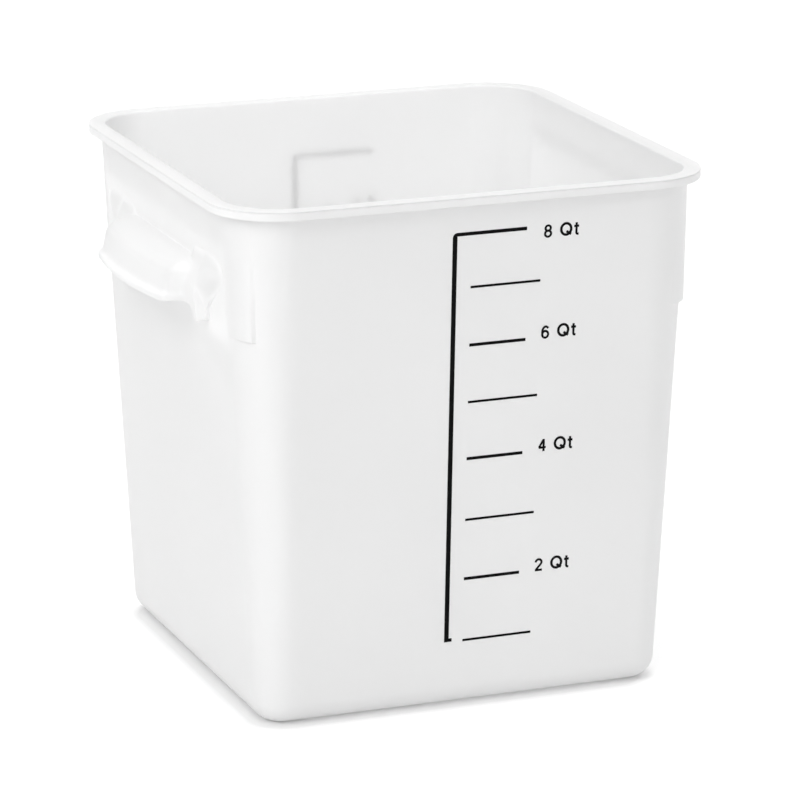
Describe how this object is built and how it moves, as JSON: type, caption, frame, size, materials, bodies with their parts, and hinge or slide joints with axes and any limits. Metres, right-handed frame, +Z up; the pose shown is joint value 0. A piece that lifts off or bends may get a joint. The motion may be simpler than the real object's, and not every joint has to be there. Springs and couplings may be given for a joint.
{
  "type": "food storage container",
  "caption": "Square white plastic food storage container, open at the top, with a finger handle on two sides, stacking lugs and a printed measuring scale.",
  "frame": {"origin": "middle of the underside of the floor, which is the bottom centre of the object's box", "axes": "+Z up; X runs from one handle to the other, along the front wall; +Y from the front wall, which has the scale in quarts, to the back wall"},
  "size_m": [0.2504, 0.222, 0.23],
  "materials": {
    "polyethylene": "white, slightly translucent, satin",
    "ink": "black screen-printed ink"
  },
  "bodies": {
    "root": {"handle_left": "polyethylene", "handle_right": "polyethylene", "litre_scale_frame": "ink", "litre_scale_label_2_L": "ink", "litre_scale_label_2_number": "ink", "litre_scale_label_4_L": "ink", "litre_scale_label_4_number": "ink", "litre_scale_label_6_L": "ink", "litre_scale_label_6_number": "ink", "litre_scale_tick_1": "ink", "litre_scale_tick_2": "ink", "litre_scale_tick_3": "ink", "litre_scale_tick_4": "ink", "litre_scale_tick_5": "ink", "litre_scale_tick_6": "ink", "quart_scale_frame": "ink", "quart_scale_label_2_Q": "ink", "quart_scale_label_2_number": "ink", "quart_scale_label_2_t": "ink", "quart_scale_label_4_Q": "ink", "quart_scale_label_4_number": "ink", "quart_scale_label_4_t": "ink", "quart_scale_label_6_Q": "ink", "quart_scale_label_6_number": "ink", "quart_scale_label_6_t": "ink", "quart_scale_label_8_Q": "ink", "quart_scale_label_8_number": "ink", "quart_scale_label_8_t": "ink", "quart_scale_tick_1": "ink", "quart_scale_tick_2": "ink", "quart_scale_tick_3": "ink", "quart_scale_tick_4": "ink", "quart_scale_tick_5": "ink", "quart_scale_tick_6": "ink", "quart_scale_tick_7": "ink", "tub": "polyethylene"}
  },
  "joints": []
}
